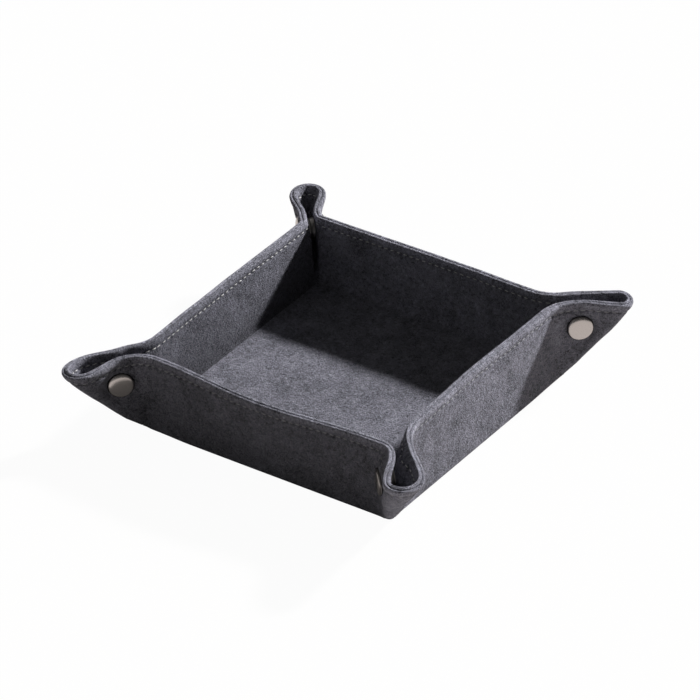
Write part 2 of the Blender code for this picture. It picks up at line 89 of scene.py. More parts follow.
# Outer suede: one square sheet of charcoal microsuede with turned edges, the tray's outside and underside.
# Its bottom is glued to the board, its four sides fold up, and its corners are pinched out into ears.
# It is modelled in panels that meet without a gap.
base_half = 0.0675
wall_height = 0.039
sheet_thickness = 0.0035
panel_thickness = 0.0017
face_offset = sheet_thickness / 2
hidden_offset = face_offset - panel_thickness
middle_wall = base_half - face_offset
bottom_bend = 0.0018
fold_span = 0.0030
walls = ("front", "right", "back", "left")
corners = ("front_right", "back_right", "back_left", "front_left")
wall_bows = {"front": 0.0040, "right": -0.0010, "back": 0.0005, "left": 0.0005}

# Painted light and shade over the nap's tone, outside (1) or inside (-1): at the wall's end, at its start,
# and painted shade at its foot.
painted_light_and_shade_lays = {
    ("left", -1): (0.46, 1.40, 0.38),
    ("right", 1): (0.96, 0.79, 0.90),
    ("front", 1): (0.72, 0.72, 0.88),
}
plain_lays = (1.0, 1.0, 1.0)
# Painted shade darkens the nap towards the foot, up to this height.
painted_foot_shade_height = 0.030
# A painted highlight along the outer crease where wall turns into ear.
painted_crease_highlight = 0.35
painted_crease_highlight_stations = 0.7
# Painted shade over the ears, eased in from the crease.
painted_ear_shade = 0.90
painted_ear_shade_stations = 2.5

# How the ears grow out of the base's corners. Lengths run up an ear from the point where its folds meet,
# and an ear rises out of the round foot between two heights, outside (1) and inside (-1).
crease_radius_at_floor = 0.0030
leg_offset = 0.0031
leg_offset_low = 0.0020
leg_parts_from = 0.006
leg_parts_over = 0.016
crease_along = middle_wall - leg_offset * sqrt(2)
ear_root = middle_wall - leg_offset / sqrt(2)
ear_length_at_floor = 0.0022
rim_reach = wall_height + ear_length_at_floor
foot_radius_per_offset = 0.51
ear_start_height = 0.0085
ear_rise = {1: (0.0, ear_start_height), -1: (0.0053, 0.0135)}
snug_length = 0.0290
low_flare = 0.0185
shortest_flare = 0.0010
latest_flare_share = 0.88

# How each ear's suede falls at the rim: half the gap between its legs, how far it sways at its crease and
# at its tip, the loop's radius, stretch and growth up the ear, how far the tip stands out and its fold
# bellies, where the legs start to part, the radius of each crease, how much the tip sinks and droops, the
# round of the base corner at its foot, and the flat area of each half.
ear_drapes = {
    "front_right": {
        "gap": 0.0043, "sway": 0.0058, "tip_sway": 0.0022, "loop": 0.0079, "stretch": 1.04, "growth": 3.0,
        "tip": 0.0376, "belly": 0.0008, "flare": 0.0073, "creases": (0.0106, 0.0310), "tip_drop": 0.0,
        "droop": 0.025, "foot": 0.0031, "flat_areas": (0.00100, 0.00118),
    },
    "back_right": {
        "gap": 0.0037, "sway": 0.0006, "tip_sway": -0.0034, "loop": 0.0054, "stretch": 0.72, "growth": 4.0,
        "tip": 0.0346, "belly": 0.0029, "flare": 0.0120, "creases": (0.0190, 0.0190), "tip_drop": 0.0008,
        "droop": 0.016, "foot": 0.0060, "flat_areas": (0.00096, 0.00096),
    },
    "back_left": {
        "gap": 0.0035, "sway": 0.0018, "tip_sway": -0.0008, "loop": 0.0068, "stretch": 1.1, "growth": 4.0,
        "tip": 0.0286, "belly": 0.0008, "flare": 0.0052, "creases": (0.0036, 0.0036), "tip_drop": 0.0,
        "droop": 0.0, "foot": 0.0031, "flat_areas": (0.00081, 0.00083),
    },
    "front_left": {
        "gap": 0.0040, "sway": -0.0018, "tip_sway": 0.0050, "loop": 0.0074, "stretch": 1.3, "growth": 4.0,
        "tip": 0.0358, "belly": 0.0017, "flare": 0.0105, "creases": (0.0160, 0.0160), "tip_drop": 0.0,
        "droop": 0.055, "foot": 0.0080, "flat_areas": (0.00101, 0.00098),
    },
}
sway_growth = 5.0
tip_sway_growth = 1.5
tip_drop_from_share = 0.35
inner_loop_share = 0.3

# The greatest value of share**2 * (1 - share), by which the fold of an ear's tip bellies out.
belly_peak = 4 / 27

# The base's back right and front left corners are drawn up, and the right wall's foot is pressed out.
corner_lift_height = 0.0014
corner_lift_reach = 0.030
foot_spread_width = 0.0014
foot_spread_height = 0.014
foot_spread_from = 0.050
foot_spread_over = 0.015
foot_spread_middle_share = 0.55

# The snap holds the ear's legs together, and its caps press a shallow dimple into the suede.
snap_out = 0.0061
snap_reach = (base_half - ear_root) * sqrt(2) + snap_out
snap_height = 0.0260
snap_dimple_radius = 0.0085
snap_dimple_depth = 0.0003
snap_dimple_fade = 1.6
snap_hold_radius = 0.0065
snap_hold_fade = 0.006
leg_hold_fade = 0.003

# The turned edge, down to the stitches and the dip that they pull in, and the rows of the mesh over it.
stitch_pitch = 0.0034
stitch_drop = 0.0040
stitch_dip_depth = 0.00042
stitch_dip_width = 0.00055
rim_puff = 0.00014
rim_puff_from = 0.0008
rim_puff_width = 0.0026
seam_row_drops = (0.0056, 0.0050, 0.0046, 0.0043, 0.0040, 0.0037, 0.0034, 0.0030, 0.0024, 0.0018, 0.0012)
face_row_foot = {1: 0.0032, -1: 0.0085}
face_row_drop = 0.0062
turned_in_drop = 0.003
lip_flattening = 0.45

# Slow waves and finer ripples of the soft suede, which run out at the foot.
wave_depth = 0.00028
wave_scale = 42.0
ripple_depth = 0.4 * wave_depth
ripple_scale = 2.7 * wave_scale
wave_free_height = 0.02


def ease(share):
    share = min(max(share, 0.0), 1.0)
    return share * share * (3 - 2 * share)


def spread(start, end, count):
    return [start + (end - start) * k / count for k in range(count + 1)]


def wall_turn(wall):
    """Turns wall coordinates (along, outward, up) into the tray's."""
    turn = Matrix.Rotation(walls.index(wall) * pi / 2, 4, "Z")
    front = Matrix(((1, 0, 0, 0), (0, -1, 0, 0), (0, 0, 1, 0), (0, 0, 0, 1)))
    return turn @ front


def ear_beside(wall, mirrored):
    """How the ear falls at a wall's end, or at its start when mirrored."""
    return ear_drapes[corners[walls.index(wall) - mirrored]]


def rim_share(length):
    return min(max(length / rim_reach, 0.0), 1.0)


def opened(length):
    """From 0 where the snap holds the ear shut to 1 at the rim."""
    return ease((length - snug_length) / (rim_reach - snug_length))


def crease_size(ear, mirrored, length):
    """Radius of the bend from wall to ear, wider towards the rim, and how far it reaches into the ear."""
    growth = (ear["creases"][mirrored] - crease_radius_at_floor) * rim_share(length)
    radius = crease_radius_at_floor + growth
    return radius, radius * tan(pi / 8)


def ear_marks(ear, mirrored, length):
    """Across an ear: half the gap, where the crease, the flare and the loop start, the loop's radius."""
    share = rim_share(length)
    low = leg_offset_low + (leg_offset - leg_offset_low) * ease((length - leg_parts_from) / leg_parts_over)
    gap = low + (ear["gap"] - leg_offset) * opened(length)
    way = -1 if mirrored else 1
    sway = way * ear["sway"] * share**sway_growth
    crease = leg_offset - gap + sway
    crease_end = crease_size(ear, mirrored, length)[1]
    loop = low + (ear["loop"] - low) * share ** ear["growth"]
    stretch = 1 + (ear["stretch"] - 1) * opened(length)
    bellied = share**2 * (1 - share) / belly_peak * ear["belly"]
    round_start = ear["tip"] * share + bellied - loop * stretch
    flare = low_flare + (ear["flare"] - low_flare) * opened(length)
    flare = min(flare, crease_end + latest_flare_share * (round_start - crease_end))
    flare = max(flare, crease + crease_end + shortest_flare / 2)
    return gap, crease, flare, max(round_start, flare + shortest_flare / 2), loop


def ear_section(ear, mirrored, station, length):
    """Reach along the diagonal and distance off it, from the crease at 1 to the tip fold at 4."""
    gap, crease, flare, round_start, loop = ear_marks(ear, mirrored, length)
    leg_start = crease + crease_size(ear, mirrored, length)[1]
    stretch = 1 + (ear["stretch"] - 1) * opened(length)
    off = gap
    if station <= 2:
        reach = leg_start + (station - 1) * (flare - leg_start)
    elif station <= 3:
        reach = flare + (station - 2) * (round_start - flare)
        off += (loop - gap) * ease(station - 2)
    else:
        angle = (min(station, 4.0) - 3) * pi / 2
        reach = round_start + loop * stretch * sin(angle)
        off = loop * cos(angle)
    if station > 4:
        off -= (station - 4) * loop
    way = -1 if mirrored else 1
    tipward = ease((reach - leg_start) / (round_start + loop * stretch - leg_start))
    share = rim_share(length)
    near = ear["sway"] * share**sway_growth * (1 - tipward)
    far = ear["tip_sway"] * share**tip_sway_growth * tipward
    from_snap = Vector((reach - snap_reach, length - ear_length_at_floor - snap_height)).length
    free = ease((from_snap - snap_hold_radius) / snap_hold_fade)
    loose = 1 - (1 - free) * ease((reach - leg_start) / leg_hold_fade)
    return reach, off - way * (near + far) * loose


def ear_share(ear, mirrored, station, length):
    """How far a station lies from the wall's end, 0, to the tip fold, 1."""
    if station <= 0:
        return 0.0
    crease, flare, round_start, loop = ear_marks(ear, mirrored, length)[1:]
    crease_end = crease_size(ear, mirrored, length)[1]
    whole = round_start - crease + loop * pi / 2
    if station <= 1:
        return station * crease_end / whole
    if station <= 2:
        return (crease_end + (station - 1) * (flare - crease - crease_end)) / whole
    if station <= 3:
        return (flare - crease + (station - 2) * (round_start - flare)) / whole
    return min((round_start - crease + (station - 3) * loop * pi / 2) / whole, 1.0)


def rim_top(ear, mirrored, station):
    """Height of the rim above the base, up the sheet: it sinks a little towards the ear's tip."""
    share = ear_share(ear, mirrored, station, rim_reach)
    return wall_height - ear["tip_drop"] * ease((share - tip_drop_from_share) / (1 - tip_drop_from_share))


def wall_swell(bow, share, height):
    """A wall bows between its creases, most in its middle and at its rim."""
    lift = max(height - bottom_bend, 0.0) / (wall_height - bottom_bend)
    return bow * lift * cos(pi / 2 * min(share, 1.0)) ** 2


def middle_spot(ear, mirrored, bow, station, height):
    """Middle of the folded sheet; stations run -2 middle of the wall, -1 to 1 crease, 4 tip fold."""
    length = height + ear_length_at_floor
    radius, crease_end = crease_size(ear, mirrored, length)
    corner = ear_root + (2 * ear_marks(ear, mirrored, length)[1] - leg_offset) / sqrt(2)
    if station <= -1:
        along = (corner - crease_end) * (station + 2)
        return Vector((along, middle_wall + wall_swell(bow, station + 2, height), height))
    drooped = height * (1 - ear["droop"] * ease(ear_share(ear, mirrored, station, length)))
    if station <= 1:
        angle = -pi / 2 + (station + 1) * pi / 8
        reach = radius / cos(pi / 8)
        along = corner - reach * sin(pi / 8) + radius * cos(angle)
        outward = middle_wall + reach * cos(pi / 8) + radius * sin(angle)
        return Vector((along, outward, drooped))
    reach, off = ear_section(ear, mirrored, station, length)
    along = ear_root + (reach - off) / sqrt(2)
    outward = ear_root + (reach + off) / sqrt(2)
    return Vector((along, outward, drooped))


def middle_normal(ear, mirrored, bow, station, height):
    """Square to the sheet, from spots a hair to either side and a hair below and above."""
    aside = [middle_spot(ear, mirrored, bow, station + step, height) for step in (-0.001, 0.001)]
    lifted = [middle_spot(ear, mirrored, bow, station, height + step) for step in (-0.0001, 0.0001)]
    return (lifted[1] - lifted[0]).cross(aside[1] - aside[0]).normalized()


def foot_spot(ear, bow, station, height, offset):
    """The base corner below the ears: the wall runs straight into a small round."""
    face = middle_wall + offset
    radius = ear["foot"] + foot_radius_per_offset * offset
    crease_end = crease_radius_at_floor * tan(pi / 8)
    crease = crease_along - crease_end
    straight = face - radius
    whole = straight + radius * pi / 4
    run = crease_along + max(station, 0.0) / 4 * (whole - crease_along)
    if station <= 0:
        run = crease * (min(station, -1.0) + 2) + max(station + 1, 0.0) * crease_end
    if run < straight:
        return Vector((run, face + wall_swell(bow, station + 2, height), height))
    angle = (run - straight) / radius
    return Vector((face - radius * (1 - sin(angle)), face - radius * (1 - cos(angle)), height))


def suede_spot(wall, mirrored, station, height, offset, side=1):
    """A point of the sheet in the tray's coordinates, offset from the middle of its thickness."""
    ear = ear_beside(wall, mirrored)
    bow = wall_bows[wall]
    low, high = ear_rise[side]
    share = min(max((height - low) / (high - low), 0.0), 1.0)
    if side < 0:
        share = ease(share)
    spot = foot_spot(ear, bow, station, height, offset)
    turn = wall_turn(wall)
    if mirrored:
        turn = turn @ Matrix.Scale(-1, 4, Vector((1, 0, 0)))
    if share > 0:
        shaped = max(height, ear_start_height)
        normal = middle_normal(ear, mirrored, bow, station, shaped)
        held = offset
        if station > 2:
            loop = ear_marks(ear, mirrored, shaped + ear_length_at_floor)[4]
            held = max(offset, -inner_loop_share * loop)
        middle = middle_spot(ear, mirrored, bow, station, shaped)
        raised = middle + normal * held
        raised.z -= shaped - height
        rest = turn @ raised
        wave = noise.noise(rest * wave_scale) * wave_depth + noise.noise(rest * ripple_scale) * ripple_depth
        raised += normal * wave * share * ease(height / wave_free_height)
        if offset > 0:
            snap_place = base_half + snap_out / sqrt(2)
            away = (middle - Vector((snap_place, snap_place, snap_height))).length / snap_dimple_radius
            raised -= normal * snap_dimple_depth * ease(snap_dimple_fade - away)
        spot = spot.lerp(raised, share)
    put = turn @ spot
    if side > 0:
        put.z += corner_lift(put) * (1 - ease(height / bottom_bend))
        put.x += foot_spread(put, height)
    return put


def corner_lift(spot):
    """The ears draw the sheet up a little at the back right and front left corners of the base."""
    near = (abs(spot.x) + abs(spot.y) - 2 * base_half) / corner_lift_reach + 1
    return corner_lift_height * ease(near) * (spot.x * spot.y > 0)


def foot_spread(spot, height):
    """The right wall's foot is pressed out a little, more towards the back."""
    backward = min(max(spot.y / base_half, -1.0), 1.0)
    width = foot_spread_width * (foot_spread_middle_share + (1 - foot_spread_middle_share) * backward)
    width *= 1 - ease(height / foot_spread_height)
    return width * ease((spot.x - foot_spread_from) / foot_spread_over)


def rim_relief(drop):
    """The line of stitches draws the suede in, and the turned edge above it stands a little proud."""
    dip = stitch_dip_depth * exp(-(((drop - stitch_drop) / stitch_dip_width) ** 2))
    share = min(max((drop - rim_puff_from) / rim_puff_width, 0.0), 1.0)
    return rim_puff * sin(pi * share) - dip


def rim_rows(side):
    """Rows over a turned edge, from the shown face to the hidden one, as (kind, value, offset)."""
    rows = [("drop", drop, side * (face_offset + rim_relief(drop))) for drop in seam_row_drops]
    radius = panel_thickness / 2
    for angle in spread(0.0, pi, 8):
        drop = radius * (1 - sin(angle)) * (lip_flattening if angle > pi / 2 else 1.0)
        rows.append(("drop", drop, side * (hidden_offset + radius * (1 + cos(angle)))))
    return rows


def outer_rows():
    """Round the bottom bend, up the outside, over the turned edge and down again inside."""
    rows = []
    for angle in spread(0.0, pi / 2, 6):
        height = bottom_bend * (1 - cos(angle))
        rows.append(("height", height, face_offset - bottom_bend * (1 - sin(angle))))
    rows += [("share", share, face_offset) for share in spread(0.0, 1.0, 12)[1:]]
    rows += rim_rows(1)
    rows.append(("drop", turned_in_drop, hidden_offset))
    rows += [("share", share, hidden_offset) for share in (0.7, 0.3)]
    inner_bend = bottom_bend - panel_thickness
    for angle in reversed(spread(0.0, pi / 2, 3)):
        height = panel_thickness + inner_bend * (1 - cos(angle))
        rows.append(("height", height, hidden_offset - inner_bend * (1 - sin(angle))))
    return rows + rows[:1]


def row_height(kind, value, side, top):
    """Height of a row: given as such, as a drop from the rim, or as a share of the plain face."""
    if kind == "drop":
        return top - value
    if kind == "share":
        foot = face_row_foot[side]
        return foot + value * (top - face_row_drop - foot)
    return value


def seam_run(wall, mirrored):
    """Stitches counted along the seam from the middle of a wall to the tip fold, at fine stations."""
    ear = ear_beside(wall, mirrored)
    fine = spread(-2.0, 4.0, 300)
    spots = []
    for station in fine:
        height = rim_top(ear, mirrored, station) - stitch_drop
        spots.append(suede_spot(wall, mirrored, station, height, 0.0))
    run = [0.0]
    for first, second in zip(spots, spots[1:]):
        run.append(run[-1] + (second - first).length)
    count = round(run[-1] / stitch_pitch)
    return fine, [length / run[-1] * count for length in run]


def painted_light_and_shade_tone(wall, mirrored, station, height, side):
    """Painted light and shade on the nap: it changes along the wall, is painted shade towards the foot and
    over the ears, and a painted highlight round the crease.
    """
    end_shade, start_shade, foot_shade = painted_light_and_shade_lays.get((wall, side), plain_lays)
    run = (min(station, 0.0) + 2) / 4
    share = 1 - (0.5 + run if mirrored else 0.5 - run) ** 2
    raised = ease(height / painted_foot_shade_height)
    painted_lay = start_shade + (end_shade - start_shade) * share
    painted_lay *= foot_shade + (1 - foot_shade) * raised
    # Painted shade over the ears.
    painted_lay += (painted_ear_shade - painted_lay) * ease(station / painted_ear_shade_stations)
    if side > 0:
        # Painted highlight along the crease, outside only.
        painted_lay *= 1 + painted_crease_highlight * exp(-((station / painted_crease_highlight_stations) ** 2)) * raised
    return painted_lay


def finished(name, mesh):
    """Makes a shaped mesh a piece of the tray."""
    data = bpy.data.meshes.new(name)
    mesh.to_mesh(data)
    mesh.free()
    piece = bpy.data.objects.new(name, data)
    bpy.context.scene.collection.objects.link(piece)
    return piece


def suede_panel(name, wall, sides, rows, side):
    """A flat grid is bent over the folded sheet and closed round its back, then its ends are capped."""
    mesh = bmesh.new()
    bmesh.ops.create_grid(mesh, x_segments=len(sides) - 1, y_segments=len(rows) - 1, size=0.5)
    drops = mesh.verts.layers.float.new("rim_drop")
    stitches = mesh.verts.layers.float.new("stitch_count")
    painted_lays = mesh.verts.layers.float.new("painted_light_and_shade")
    runs = {mirrored: seam_run(wall, mirrored) for mirrored in (True, False)}
    for vert in mesh.verts:
        mirrored, station = sides[round((vert.co.x + 0.5) * (len(sides) - 1))]
        kind, value, offset = rows[round((vert.co.y + 0.5) * (len(rows) - 1))]
        top = rim_top(ear_beside(wall, mirrored), mirrored, station)
        height = row_height(kind, value, side, top)
        vert.co = suede_spot(wall, mirrored, station, height, offset, side)
        vert[drops] = top - height
        vert[stitches] = np.interp(station, *runs[mirrored]) * (-1 if mirrored else 1)
        # Painted light and shade, kept on the mesh for the suede finish to darken or lighten its colour.
        vert[painted_lays] = painted_light_and_shade_tone(wall, mirrored, station, height, side)
    bmesh.ops.remove_doubles(mesh, verts=mesh.verts, dist=1e-7)
    open_edges = [edge for edge in mesh.edges if edge.is_boundary]
    ends = bmesh.ops.holes_fill(mesh, edges=open_edges, sides=0)["faces"]
    bmesh.ops.recalc_face_normals(mesh, faces=mesh.faces)
    for face in mesh.faces:
        face.smooth = True
    for face in ends:
        face.smooth = False
        for edge in face.edges:
            edge.smooth = False
    return finished(name, mesh)


seam_edge = 0.01
half_wall = spread(-2.0, -1.0, 24) + spread(-1.0, 0.0, 8)[1:-1] + [-seam_edge, 0.0]
wall_sides = [(True, station) for station in reversed(half_wall[1:])]
wall_sides += [(False, station) for station in half_wall]
ear_stations = [0.0, seam_edge] + spread(0.0, 1.0, 8)[1:] + spread(1.0, 2.0, 10)[1:]
ear_stations += spread(2.0, 3.0, 14)[1:] + spread(3.0, 4.0, 16)[1:-1] + [4.0 - seam_edge, 4.0]

crease_turn_from = 0.0001
crease_turn_to = 0.0026
crease_turn_height = 0.02
crease_ahead = 0.02


def crease_line(wall, mirrored):
    """Where an ear's suede starts to turn with the ear, and where it has turned fully."""
    near = suede_spot(wall, mirrored, 0.0, crease_turn_height, 0.0)
    ahead = (suede_spot(wall, mirrored, crease_ahead, crease_turn_height, 0.0) - near).normalized()
    return near + ahead * crease_turn_from, near + ahead * crease_turn_to


def math_node(tree, operation, first, second):
    node = add_node(tree, "ShaderNodeMath", operation=operation)
    for socket, value in zip(node.inputs, (first, second)):
        if isinstance(value, (int, float)):
            socket.default_value = value
        else:
            tree.links.new(value, socket)
    return node.outputs[0]


def suede_group():
    """Nap of brushed suede: patches where it lies either way, tufts of short fibres and fine specks."""
    group = bpy.data.node_groups.new("suede_nap", "ShaderNodeTree")
    for label in ("Patches", "Tufts", "Specks"):
        group.interface.new_socket(name=label, in_out="INPUT", socket_type="NodeSocketFloat")
    group.interface.new_socket(name="Place", in_out="INPUT", socket_type="NodeSocketVector")
    for label in ("Shade", "Height"):
        group.interface.new_socket(name=label, in_out="OUTPUT", socket_type="NodeSocketFloat")
    given = group.nodes.new("NodeGroupInput")
    put = group.nodes.new("NodeGroupOutput")
    noises = {}
    for name, scale, detail, distortion in (
        ("patch", 55.0, 3.0, 0.8),
        ("dents", 230.0, 3.0, 1.0),
        ("tufts", 1000.0, 2.0, 1.2),
        ("specks", 2700.0, 2.0, 0.5),
    ):
        pattern = add_node(group, "ShaderNodeTexNoise", scale=scale, detail=detail, distortion=distortion)
        pattern.inputs["Roughness"].default_value = 0.6
        group.links.new(given.outputs["Place"], pattern.inputs["Vector"])
        noises[name] = pattern
    broad = math_node(group, "ADD", noises["patch"].outputs["Fac"], noises["dents"].outputs["Fac"])
    broad = math_node(group, "SUBTRACT", broad, 1.0)
    broad = math_node(group, "MULTIPLY", broad, given.outputs["Patches"])
    shade = math_node(group, "ADD", broad, 1.0)
    for name, amount in (("tufts", "Tufts"), ("specks", "Specks")):
        grain = math_node(group, "SUBTRACT", noises[name].outputs["Fac"], 0.5)
        shade = math_node(group, "ADD", shade, math_node(group, "MULTIPLY", grain, given.outputs[amount]))
    group.links.new(math_node(group, "MAXIMUM", shade, 0.15), put.inputs["Shade"])
    fine = math_node(group, "MULTIPLY", noises["specks"].outputs["Fac"], 0.5)
    group.links.new(math_node(group, "ADD", noises["tufts"].outputs["Fac"], fine), put.inputs["Height"])
    return group


nap = suede_group()


def smooth_range(tree, value, low, high, at_low, at_high):
    """Eases from one value to another while its input goes from low to high."""
    node = add_node(tree, "ShaderNodeMapRange", interpolation_type="SMOOTHSTEP")
    for label, number in (("From Min", low), ("From Max", high), ("To Min", at_low), ("To Max", at_high)):
        node.inputs[label].default_value = number
    tree.links.new(value, node.inputs["Value"])
    return node.outputs["Result"]


# A painted highlight on the turned edge, painted shade along the stitch line and in each stitch hole, and
# puckers by bump.
rim_painted_highlight_tone = 1.50
rim_painted_highlight_band = (0.0008, 0.0034)
stitch_line_painted_shade_band = (0.0001, 0.0011)
stitch_hole_painted_shade_band = (0.0002, 0.0009)
pucker_band = (0.0001, 0.0016)


def suede_finish(name, color, bump_depth):
    """Suede with a painted highlight on its turned edge, painted shade along its stitch line and in its
    stitch holes, and puckered along its stitches.
    """
    finish, tree, shader = new_finish(name, color, 0.94)
    shader.inputs["Sheen Weight"].default_value = 0.22
    shader.inputs["Sheen Roughness"].default_value = 0.4
    shader.inputs["Sheen Tint"].default_value = (0.86, 0.86, 0.95, 1.0)
    shader.inputs["Specular IOR Level"].default_value = 0.12
    place = add_node(tree, "ShaderNodeTexCoord")
    laid = tree.nodes.new("ShaderNodeGroup")
    laid.node_tree = nap
    laid.inputs["Patches"].default_value = 1.35
    laid.inputs["Tufts"].default_value = 3.2
    laid.inputs["Specks"].default_value = 2.0
    tree.links.new(place.outputs["Object"], laid.inputs["Place"])
    rim = add_node(tree, "ShaderNodeAttribute", attribute_name="rim_drop").outputs["Fac"]
    count = add_node(tree, "ShaderNodeAttribute", attribute_name="stitch_count").outputs["Fac"]
    # Painted light and shade carried from the panels.
    painted_lay = add_node(tree, "ShaderNodeAttribute", attribute_name="painted_light_and_shade").outputs["Fac"]
    # Painted highlight on the turned edge.
    rim_highlight = smooth_range(tree, rim, *rim_painted_highlight_band, rim_painted_highlight_tone, 1.0)
    across = math_node(tree, "ABSOLUTE", math_node(tree, "SUBTRACT", rim, stitch_drop), 0.0)
    # Painted shade in the groove of the stitch line.
    stitch_line_shade = smooth_range(tree, across, *stitch_line_painted_shade_band, 0.85, 1.0)
    along = math_node(tree, "SUBTRACT", count, math_node(tree, "ROUND", count, 0.0))
    along = math_node(tree, "MULTIPLY", along, stitch_pitch)
    along = math_node(tree, "MULTIPLY", along, along)
    square = math_node(tree, "ADD", along, math_node(tree, "MULTIPLY", across, across))
    hole = math_node(tree, "SQRT", square, 0.0)
    # Painted shade in each stitch hole.
    stitch_hole_shade = smooth_range(tree, hole, *stitch_hole_painted_shade_band, 0.72, 1.0)
    shade = laid.outputs["Shade"]
    for factor in (rim_highlight, stitch_line_shade, stitch_hole_shade, painted_lay):
        shade = math_node(tree, "MULTIPLY", shade, factor)
    dyed = add_node(tree, "ShaderNodeVectorMath", operation="SCALE")
    dyed.inputs[0].default_value = color
    tree.links.new(shade, dyed.inputs["Scale"])
    tree.links.new(dyed.outputs["Vector"], shader.inputs["Base Color"])
    pucker = smooth_range(tree, hole, *pucker_band, -0.3, 0.0)
    bump = add_node(tree, "ShaderNodeBump", strength=1.0, distance=bump_depth)
    tree.links.new(math_node(tree, "ADD", laid.outputs["Height"], pucker), bump.inputs["Height"])
    tree.links.new(bump.outputs["Normal"], shader.inputs["Normal"])
    return finish


def dress(panel, finish, node):
    panel.data.materials.append(finish)
    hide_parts(node)


charcoal = (0.205, 0.202, 0.236)
nap_bump = 0.00170
outer_finish = suede_finish("charcoal_suede_outside", charcoal, nap_bump)

ear_halves = []
for index, corner in enumerate(corners):
    ear_halves.append((corner, walls[index], False))
    ear_halves.append((corner, walls[(index + 1) % 4], True))

for wall in walls:
    panel = suede_panel(f"outer_suede_wall_{wall}", wall, wall_sides, outer_rows(), 1)
    dress(panel, outer_finish, f"outer_wall_{wall}")
    out = wall_turn(wall).to_3x3() @ Vector((0, 1, 0))
    start = out * (base_half - fold_span)
    end = out * base_half + Vector((0, 0, fold_span))
    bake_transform(panel)

for corner, wall, mirrored in ear_halves:
    sides = [(mirrored, station) for station in ear_stations]
    place_name = f"{corner}_on_{wall}"
    panel = suede_panel(f"outer_suede_ear_{place_name}", wall, sides, outer_rows(), 1)
    dress(panel, outer_finish, f"outer_ear_{place_name}")
    start, end = crease_line(wall, mirrored)
    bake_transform(panel)

plate_cells = 60
plate_calm_edge = 0.012
plate_swell_scale = 45
plate_ripple_scale = 120
plate_tuck = 0.0003
underside_half = base_half - bottom_bend + plate_tuck
underside_corner_radii = (0.0033, 0.0072)


def square_plate(name, half, corner_radii, bottom, top, softness):
    """A square of suede: a grid with rounded corners, given its thickness by pulling its face down."""
    mesh = bmesh.new()
    bmesh.ops.create_grid(mesh, x_segments=plate_cells, y_segments=plate_cells, size=half)
    for vert in mesh.verts:
        inner = half - corner_radii[vert.co.x * vert.co.y > 0]
        over = Vector((max(abs(vert.co.x) - inner, 0.0), max(abs(vert.co.y) - inner, 0.0)))
        if over.x > 0 and over.y > 0:
            reach = max(over.x, over.y) / over.length
            vert.co.x = (inner + over.x * reach) * (1 if vert.co.x > 0 else -1)
            vert.co.y = (inner + over.y * reach) * (1 if vert.co.y > 0 else -1)
        if bottom == 0:
            vert.co.x += foot_spread(vert.co, 0.0)
        inward = ease((half - max(abs(vert.co.x), abs(vert.co.y))) / plate_calm_edge)
        swell = noise.noise(vert.co * plate_swell_scale)
        ripple = noise.noise(vert.co * plate_ripple_scale)
        vert.co.z = top + softness * inward * (swell + 0.5 * ripple)
    sheet = list(mesh.faces)
    pulled = bmesh.ops.extrude_face_region(mesh, geom=sheet)["geom"]
    for vert in (item for item in pulled if isinstance(item, bmesh.types.BMVert)):
        vert.co.z = bottom + (corner_lift(vert.co) if bottom == 0 else 0.0)
    bmesh.ops.recalc_face_normals(mesh, faces=mesh.faces)
    for face in mesh.faces:
        face.smooth = abs(face.normal.z) > 0.5
    for edge in mesh.edges:
        edge.smooth = all(face.smooth for face in edge.link_faces)
    drops = mesh.verts.layers.float.new("rim_drop")
    painted_lays = mesh.verts.layers.float.new("painted_light_and_shade")
    for vert in mesh.verts:
        vert[drops] = wall_height
        vert[painted_lays] = 1.0
    return finished(name, mesh)


underside_name = "outer_suede_underside"
underside = square_plate(underside_name, underside_half, underside_corner_radii, 0.0, panel_thickness, 0.0)
dress(underside, outer_finish, "outer_base")
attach(underside, "base")


# Lining: a second square of the same suede, the tray's inside, glued to the board and to the outer sheet.
# It turns up at the foot of each wall in a soft round, and its edge is sewn level with the outer one.
floor_bottom = 0.0037
floor_top = 0.0053
floor_bend = 0.0015
floor_softness = 0.00012
floor_corner_radius = 0.0014
lining_back_foot = 0.0060


def lining_rows():
    """From the floor round the bend, up the inside, over the turned edge and down behind."""
    rows = []
    for angle in spread(0.0, pi / 2, 5):
        height = floor_top + floor_bend * (1 - cos(angle))
        rows.append(("height", height, -face_offset - floor_bend * (1 - sin(angle))))
    rows += [("share", share, -face_offset) for share in spread(0.0, 1.0, 12)]
    rows += rim_rows(-1)
    rows.append(("drop", turned_in_drop, -hidden_offset))
    rows.append(("share", 0.5, -hidden_offset))
    rows.append(("height", lining_back_foot, -hidden_offset))
    rows.append(("height", floor_bottom, -hidden_offset))
    rows.append(("height", floor_bottom, -face_offset - floor_bend))
    return rows + rows[:1]


lining_finish = suede_finish("charcoal_suede_inside", charcoal, nap_bump)

for wall in walls:
    panel = suede_panel(f"lining_suede_wall_{wall}", wall, wall_sides, lining_rows(), -1)
    dress(panel, lining_finish, f"lining_wall_{wall}")
    out = wall_turn(wall).to_3x3() @ Vector((0, 1, 0))
    start = out * (base_half - sheet_thickness - floor_bend) + Vector((0, 0, floor_top))
    end = out * (base_half - sheet_thickness) + Vector((0, 0, floor_top + floor_bend))
    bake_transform(panel)

for corner, wall, mirrored in ear_halves:
    sides = [(mirrored, station) for station in ear_stations]
    place_name = f"{corner}_on_{wall}"
    panel = suede_panel(f"lining_suede_ear_{place_name}", wall, sides, lining_rows(), -1)
    dress(panel, lining_finish, f"lining_ear_{place_name}")
    start, end = crease_line(wall, mirrored)
    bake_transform(panel)

